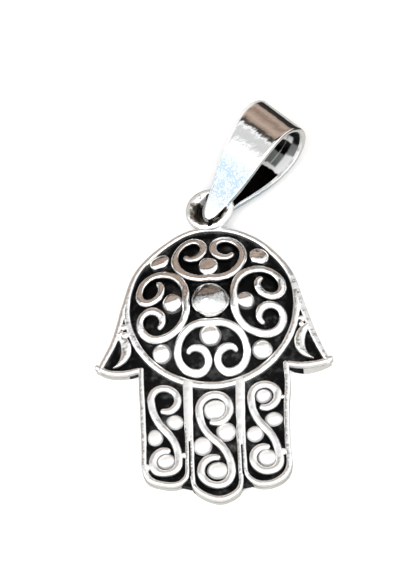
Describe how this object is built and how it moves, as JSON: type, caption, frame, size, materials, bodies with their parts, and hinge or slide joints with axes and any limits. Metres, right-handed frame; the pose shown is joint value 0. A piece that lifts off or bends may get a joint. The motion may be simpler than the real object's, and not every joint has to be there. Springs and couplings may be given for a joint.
{
  "type": "hamsa pendant",
  "caption": "Hand-shaped pendant with a domed round palm, wire scrolls and granules on a dark ground, a soldered loop and a folded, tapering bail that hangs in it.",
  "frame": {"origin": "centre of the round palm, in the plane of the flat back that the pendant lies on; the centre of the bounding box's bottom is 0.2 mm from it, towards the bail", "axes": "+Z comes out of the front and is up as the pendant lies; +Y points from the fingers to the loop and the bail; +X is to the right, seen from the front"},
  "size_m": [0.018, 0.0318, 0.0053],
  "materials": {
    "oxidised_silver": "polished on the raised wires and granules, blackened in the recesses",
    "polished_silver": "polished, with fine hand marks"
  },
  "bodies": {
    "root": {"hamsa": "oxidised_silver", "bail": "polished_silver"}
  },
  "joints": []
}
